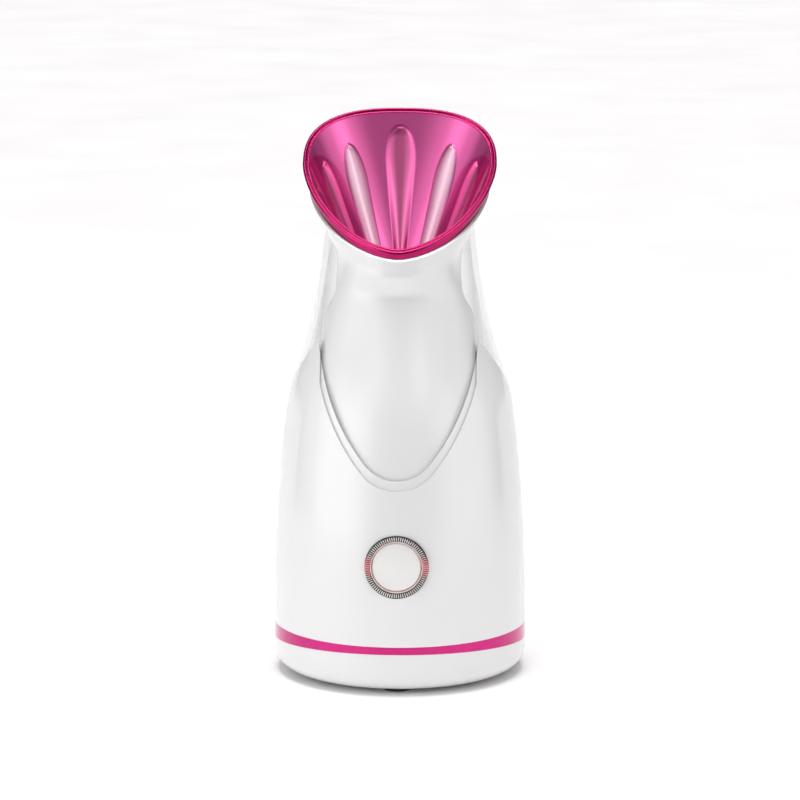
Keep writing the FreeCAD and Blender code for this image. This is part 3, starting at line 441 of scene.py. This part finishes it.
def tint_scoop(scoop, form, row_count, inside):
    """Where the scoop gets its painted highlight, its painted dark crimson reflection and its rolled rim, as
    numbers on its points.
    """
    flute, rim, painted_dark_reflection = [], [], []
    for row in range(row_count):
        share = min(1.0, row / inside)
        for index in range(SCOOP_COLUMNS):
            angle = 360 * index / SCOOP_COLUMNS
            off_back = (angle - 90 + 180) % 360 - 180
            depth = form.flute(off_back, share) / FLUTE_DEPTH
            # The flute attribute is the mask of the painted highlight: full in the flutes between the
            # highlight angles, faint in the others.
            side = 1.0 if PAINTED_HIGHLIGHT_ANGLES[0] < abs(off_back) < PAINTED_HIGHLIGHT_ANGLES[1] else 0.12
            flute.append(side * depth if row <= inside else 0.0)
            rim.append(0.0 if row < inside else min(1.0, (row - inside) / 3))
            # Painted dark crimson reflection: low on the sides past the border angle, and partly in the
            # middle flute.
            border = PAINTED_DARK_REFLECTION_ANGLE + PAINTED_DARK_REFLECTION_ANGLE * max(0.0, (share - 0.5) / 0.5) ** 4
            middle = 0.55 * depth if abs(off_back) < 15 else 0.0
            painted_dark_reflection.append(min(1.0, max(middle, (abs(off_back) - border) / 3)))
    for name, values in (("flute", flute), ("rim", rim), ("painted_dark_reflection", painted_dark_reflection)):
        layer = scoop.data.attributes.new(name, "FLOAT", "POINT")
        layer.data.foreach_set("value", values)


def make_scoop():
    form = Scoop()
    inside, edge, outside = 90, 22, 40
    rows = [form.ring(index / inside, 0, True) for index in range(inside + 1)]
    rows += [form.rim(index / edge) for index in range(1, edge)]
    for index in range(outside, -1, -1):
        share = index / outside
        grow = SCOOP_WALL + (RIM_BAND - SCOOP_WALL) * max(0.0, share - 0.8) * 5
        rows.append(form.ring(share, grow))
    scoop = grid_mesh("scoop_fluted", rows, "magenta_metallised", "housing", wrap=True)
    scoop.data.materials[0] = scoop_metal()
    tint_scoop(scoop, form, len(rows), inside)
    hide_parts("nozzle_scoop")


# ---- power button ----

RIBS = 84
RING_INNER = 11.5 * MM
RING_OUTER = 13.7 * MM
RING_FLANGE = 15.5 * MM
FLANGE_DEPTH = 1.4 * MM
CAP_SKIRT = -0.050
CAP_EDGE = 0.9 * MM
CAP_SHOULDER = 1.3 * MM
CAP_DISH = 0.4 * MM
AXIS_RADIUS = 0.00001


def button_place():
    """Height of the button's axis, and the ring's front and back."""
    low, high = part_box("button_ring")
    return (low.z + high.z) / 2, low.y, high.y


def turned_rows(profile, middle, columns, wave=None):
    """Rings about the button's axis from (radius, depth) points; wave moves depth by angle."""
    rows = []
    for radius, depth in profile:
        row = []
        for index in range(columns):
            angle = 2 * math.pi * index / columns
            shift = wave(angle, radius) if wave else 0
            row.append(Vector((radius * math.cos(angle), depth + shift, middle + radius * math.sin(angle))))
        rows.append(row)
    return rows


def make_button_ring():
    middle, front, back = button_place()
    inner, outer, flange = RING_INNER, RING_OUTER, RING_FLANGE
    rib_in, rib_out = inner + 0.28 * MM, outer - 0.28 * MM

    def ribs(angle, radius):
        if not rib_in - 1e-6 <= radius <= rib_out + 1e-6:
            return 0
        beat = 0.5 + 0.5 * math.cos(angle * RIBS)
        return 0.5 * MM * min(1.0, max(0.0, (0.6 - beat) / 0.3))

    profile = [(inner, back), (inner, front + 0.5 * MM), (inner + 0.06 * MM, front + 0.24 * MM),
               (inner + 0.2 * MM, front + 0.12 * MM)]
    steps = 7
    profile += [(rib_in + (rib_out - rib_in) * index / steps, front) for index in range(steps + 1)]
    profile += [(outer - 0.2 * MM, front + 0.12 * MM), (outer - 0.06 * MM, front + 0.24 * MM),
                (outer, front + 0.5 * MM), (outer, back - FLANGE_DEPTH), (flange, back - FLANGE_DEPTH),
                (flange, back)]
    ring = grid_mesh("button_ring_ribbed", turned_rows(profile, middle, RIBS * 10, ribs), "dark_chrome",
                     "housing", wrap=True)
    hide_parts("button_ring")


def make_button_cap():
    middle, _, _ = button_place()
    low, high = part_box("button_cap")
    radius = (high.x - low.x) / 2
    front = low.y
    hollow = CAP_SKIRT - 3.5 * MM
    profile = [(AXIS_RADIUS, hollow), (radius - 2 * MM, hollow), (radius - 2 * MM, CAP_SKIRT),
               (radius, CAP_SKIRT), (radius, front + CAP_SHOULDER)]
    for step in range(1, 9):
        turn = math.pi / 2 * step / 8
        profile.append((radius - CAP_EDGE * (1 - math.cos(turn)),
                        front + CAP_SHOULDER - CAP_EDGE * math.sin(turn)))
    for step in range(1, 14):
        share = 1 - step / 13
        profile.append((max(AXIS_RADIUS, (radius - CAP_EDGE) * share), front + CAP_DISH * share ** 2))
    cap = grid_mesh("button_cap_domed", turned_rows(profile, middle, 160), "button_white", "power_button")
    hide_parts("button_cap")


# ---- stage, light and camera ----

FLOOR_REACH = 12
TENT_RADIUS = 0.62
TENT_HEIGHT = 0.75
TENT_REACH = 112
TENT_PANELS = 56
# Light round the tent as (degrees right of the front, level), low down and high up.
TENT_LOW = ((-112, 0.1), (-92, 0.9), (-68, 2.9), (-46, 3.0), (-15, 0.18), (10, 0.06), (24, 0.3),
            (54, 2.0), (78, 1.9), (112, 0.05))
TENT_HIGH = ((-112, 0.08), (-70, 0.28), (-46, 0.9), (-28, 1.7), (-16, 1.05), (-4, 0.45), (6, 0.45),
             (16, 1.05), (26, 1.9), (44, 0.9), (70, 0.25), (112, 0.08))
TENT_CHANGE = (0.22, 0.38)
CAMERA_AZIMUTH = 1.6
CAMERA_ELEVATION = 10.5
CAMERA_DISTANCE = 1.6
SENSOR_WIDTH = 36
FRAMED_WIDTH = 0.3545
AIM_HEIGHT = 0.1210


def make_stage():
    """Plain pale floor, out to the horizon."""
    mesh = bpy.data.meshes.new("studio_floor")
    corners = [(-FLOOR_REACH, -FLOOR_REACH, 0), (FLOOR_REACH, -FLOOR_REACH, 0),
               (FLOOR_REACH, FLOOR_REACH, 0), (-FLOOR_REACH, FLOOR_REACH, 0)]
    mesh.from_pydata(corners, [], [(0, 1, 2, 3)])
    floor = bpy.data.objects.new("studio_floor", mesh)
    bpy.context.scene.collection.objects.link(floor)
    shader = Shader("pale_floor", Roughness=0.5, IOR=1.3)
    shader.colour(shader.blend(shader.noise(3, 2), (0.93, 0.915, 0.92), (0.95, 0.94, 0.943)))
    shader.rough(shader.range(shader.noise(8, 3), 0.42, 0.55))
    mesh.materials.append(shader.material)


def by_azimuth(tree, place, stops):
    """Level round the vertical axis from (degrees right of the front, level) stops."""
    split = tree.nodes.new("ShaderNodeSeparateXYZ")
    tree.links.new(place, split.inputs[0])
    flip = tree.nodes.new("ShaderNodeMath")
    flip.operation = "MULTIPLY"
    flip.inputs[1].default_value = -1
    tree.links.new(split.outputs["Y"], flip.inputs[0])
    turn = tree.nodes.new("ShaderNodeMath")
    turn.operation = "ARCTAN2"
    tree.links.new(split.outputs["X"], turn.inputs[0])
    tree.links.new(flip.outputs[0], turn.inputs[1])
    share = tree.nodes.new("ShaderNodeMapRange")
    share.inputs["From Min"].default_value = -math.pi
    share.inputs["From Max"].default_value = math.pi
    tree.links.new(turn.outputs[0], share.inputs["Value"])
    ramp = tree.nodes.new("ShaderNodeValToRGB")
    ramp.color_ramp.interpolation = "EASE"
    elements = ramp.color_ramp.elements
    while len(elements) < len(stops):
        elements.new(0.5)
    for element, (angle, light) in zip(elements, stops):
        element.position = (angle + 180) / 360
        element.color = (light, light, light, 1)
    tree.links.new(share.outputs["Result"], ramp.inputs["Fac"])
    return ramp.outputs["Color"], split.outputs["Z"]


def by_height(tree, height, span):
    """Mix of two colours, from A below the span to B above it."""
    rise = tree.nodes.new("ShaderNodeMapRange")
    rise.inputs["From Min"].default_value, rise.inputs["From Max"].default_value = span
    tree.links.new(height, rise.inputs["Value"])
    mix = tree.nodes.new("ShaderNodeMix")
    mix.data_type = "RGBA"
    tree.links.new(rise.outputs["Result"], mix.inputs["Factor"])
    return mix


def make_world():
    """Soft studio surround, brighter overhead."""
    world = bpy.data.worlds.new("studio")
    world.use_nodes = True
    tree = world.node_tree
    bpy.context.scene.world = world
    place = tree.nodes.new("ShaderNodeTexCoord").outputs["Generated"]
    stops = ((-180, 0.35), (-120, 0.28), (-60, 0.4), (-20, 0.25), (20, 0.25), (60, 0.35), (120, 0.22),
             (180, 0.35))
    ring, height = by_azimuth(tree, place, stops)
    level = by_height(tree, height, (0.3, 0.9))
    level.inputs["B"].default_value = (0.5, 0.49, 0.493, 1)
    tree.links.new(ring, level.inputs["A"])
    tree.links.new(level.outputs["Result"], tree.nodes["Background"].inputs["Color"])


def make_tent():
    """Soft light panels round the front: bright to the left and right, dim in the middle."""
    points = []
    for index in range(TENT_PANELS + 1):
        angle = math.radians(-TENT_REACH + 2 * TENT_REACH * index / TENT_PANELS)
        across, along = TENT_RADIUS * math.sin(angle), -TENT_RADIUS * math.cos(angle)
        points += [(across, along, 0.002), (across, along, TENT_HEIGHT)]
    faces = [(2 * i, 2 * i + 1, 2 * i + 3, 2 * i + 2) for i in range(TENT_PANELS)]
    mesh = bpy.data.meshes.new("light_tent")
    mesh.from_pydata(points, [], faces)
    tent = bpy.data.objects.new("light_tent", mesh)
    bpy.context.scene.collection.objects.link(tent)
    material = bpy.data.materials.new("light_tent")
    material.use_nodes = True
    tree = material.node_tree
    tree.nodes.clear()
    place = tree.nodes.new("ShaderNodeTexCoord").outputs["Object"]
    low, height = by_azimuth(tree, place, TENT_LOW)
    high, _ = by_azimuth(tree, place, TENT_HIGH)
    level = by_height(tree, height, TENT_CHANGE)
    tree.links.new(low, level.inputs["A"])
    tree.links.new(high, level.inputs["B"])
    glow = tree.nodes.new("ShaderNodeEmission")
    tree.links.new(level.outputs["Result"], glow.inputs["Color"])
    clear = tree.nodes.new("ShaderNodeBsdfTransparent")
    side = tree.nodes.new("ShaderNodeNewGeometry")
    pick = tree.nodes.new("ShaderNodeMixShader")
    tree.links.new(side.outputs["Backfacing"], pick.inputs["Fac"])
    tree.links.new(glow.outputs[0], pick.inputs[1])
    tree.links.new(clear.outputs[0], pick.inputs[2])
    tree.links.new(pick.outputs[0], tree.nodes.new("ShaderNodeOutputMaterial").inputs["Surface"])
    mesh.materials.append(material)
    tent.visible_camera = False
    tent.visible_shadow = False


def make_lights():
    """A soft panel overhead, and a wide light straight from above that whitens the floor."""
    panel = bpy.data.lights.new("overhead", "AREA")
    panel.shape = "RECTANGLE"
    panel.size, panel.size_y = 1.2, 1.0
    panel.energy = 1
    overhead = bpy.data.objects.new("overhead", panel)
    overhead.location = (-0.15, -0.1, 1.5)
    overhead.rotation_euler = (Vector((0, 0, 0.13)) - overhead.location).to_track_quat("-Z", "Y").to_euler()
    bpy.context.scene.collection.objects.link(overhead)
    sun = bpy.data.lights.new("top_light", "SUN")
    sun.energy = 2.35
    sun.angle = math.radians(30)
    bpy.context.scene.collection.objects.link(bpy.data.objects.new("top_light", sun))


def make_camera():
    azimuth, elevation = math.radians(CAMERA_AZIMUTH), math.radians(CAMERA_ELEVATION)
    aim = Vector((0, 0, AIM_HEIGHT))
    back = Vector((math.sin(azimuth) * math.cos(elevation), -math.cos(azimuth) * math.cos(elevation),
                   math.sin(elevation)))
    data = bpy.data.cameras.new("camera")
    data.sensor_width = SENSOR_WIDTH
    data.lens = SENSOR_WIDTH * CAMERA_DISTANCE / FRAMED_WIDTH
    data.clip_end = 100
    camera = bpy.data.objects.new("camera", data)
    camera.location = aim + back * CAMERA_DISTANCE
    camera.rotation_euler = back.to_track_quat("Z", "Y").to_euler()
    bpy.context.scene.collection.objects.link(camera)
    bpy.context.scene.camera = camera
    bpy.context.scene.view_settings.view_transform = "Standard"


finish_cad_nodes()
make_scoop()
make_button_ring()
make_button_cap()
make_stage()
make_world()
make_tent()
make_lights()
make_camera()
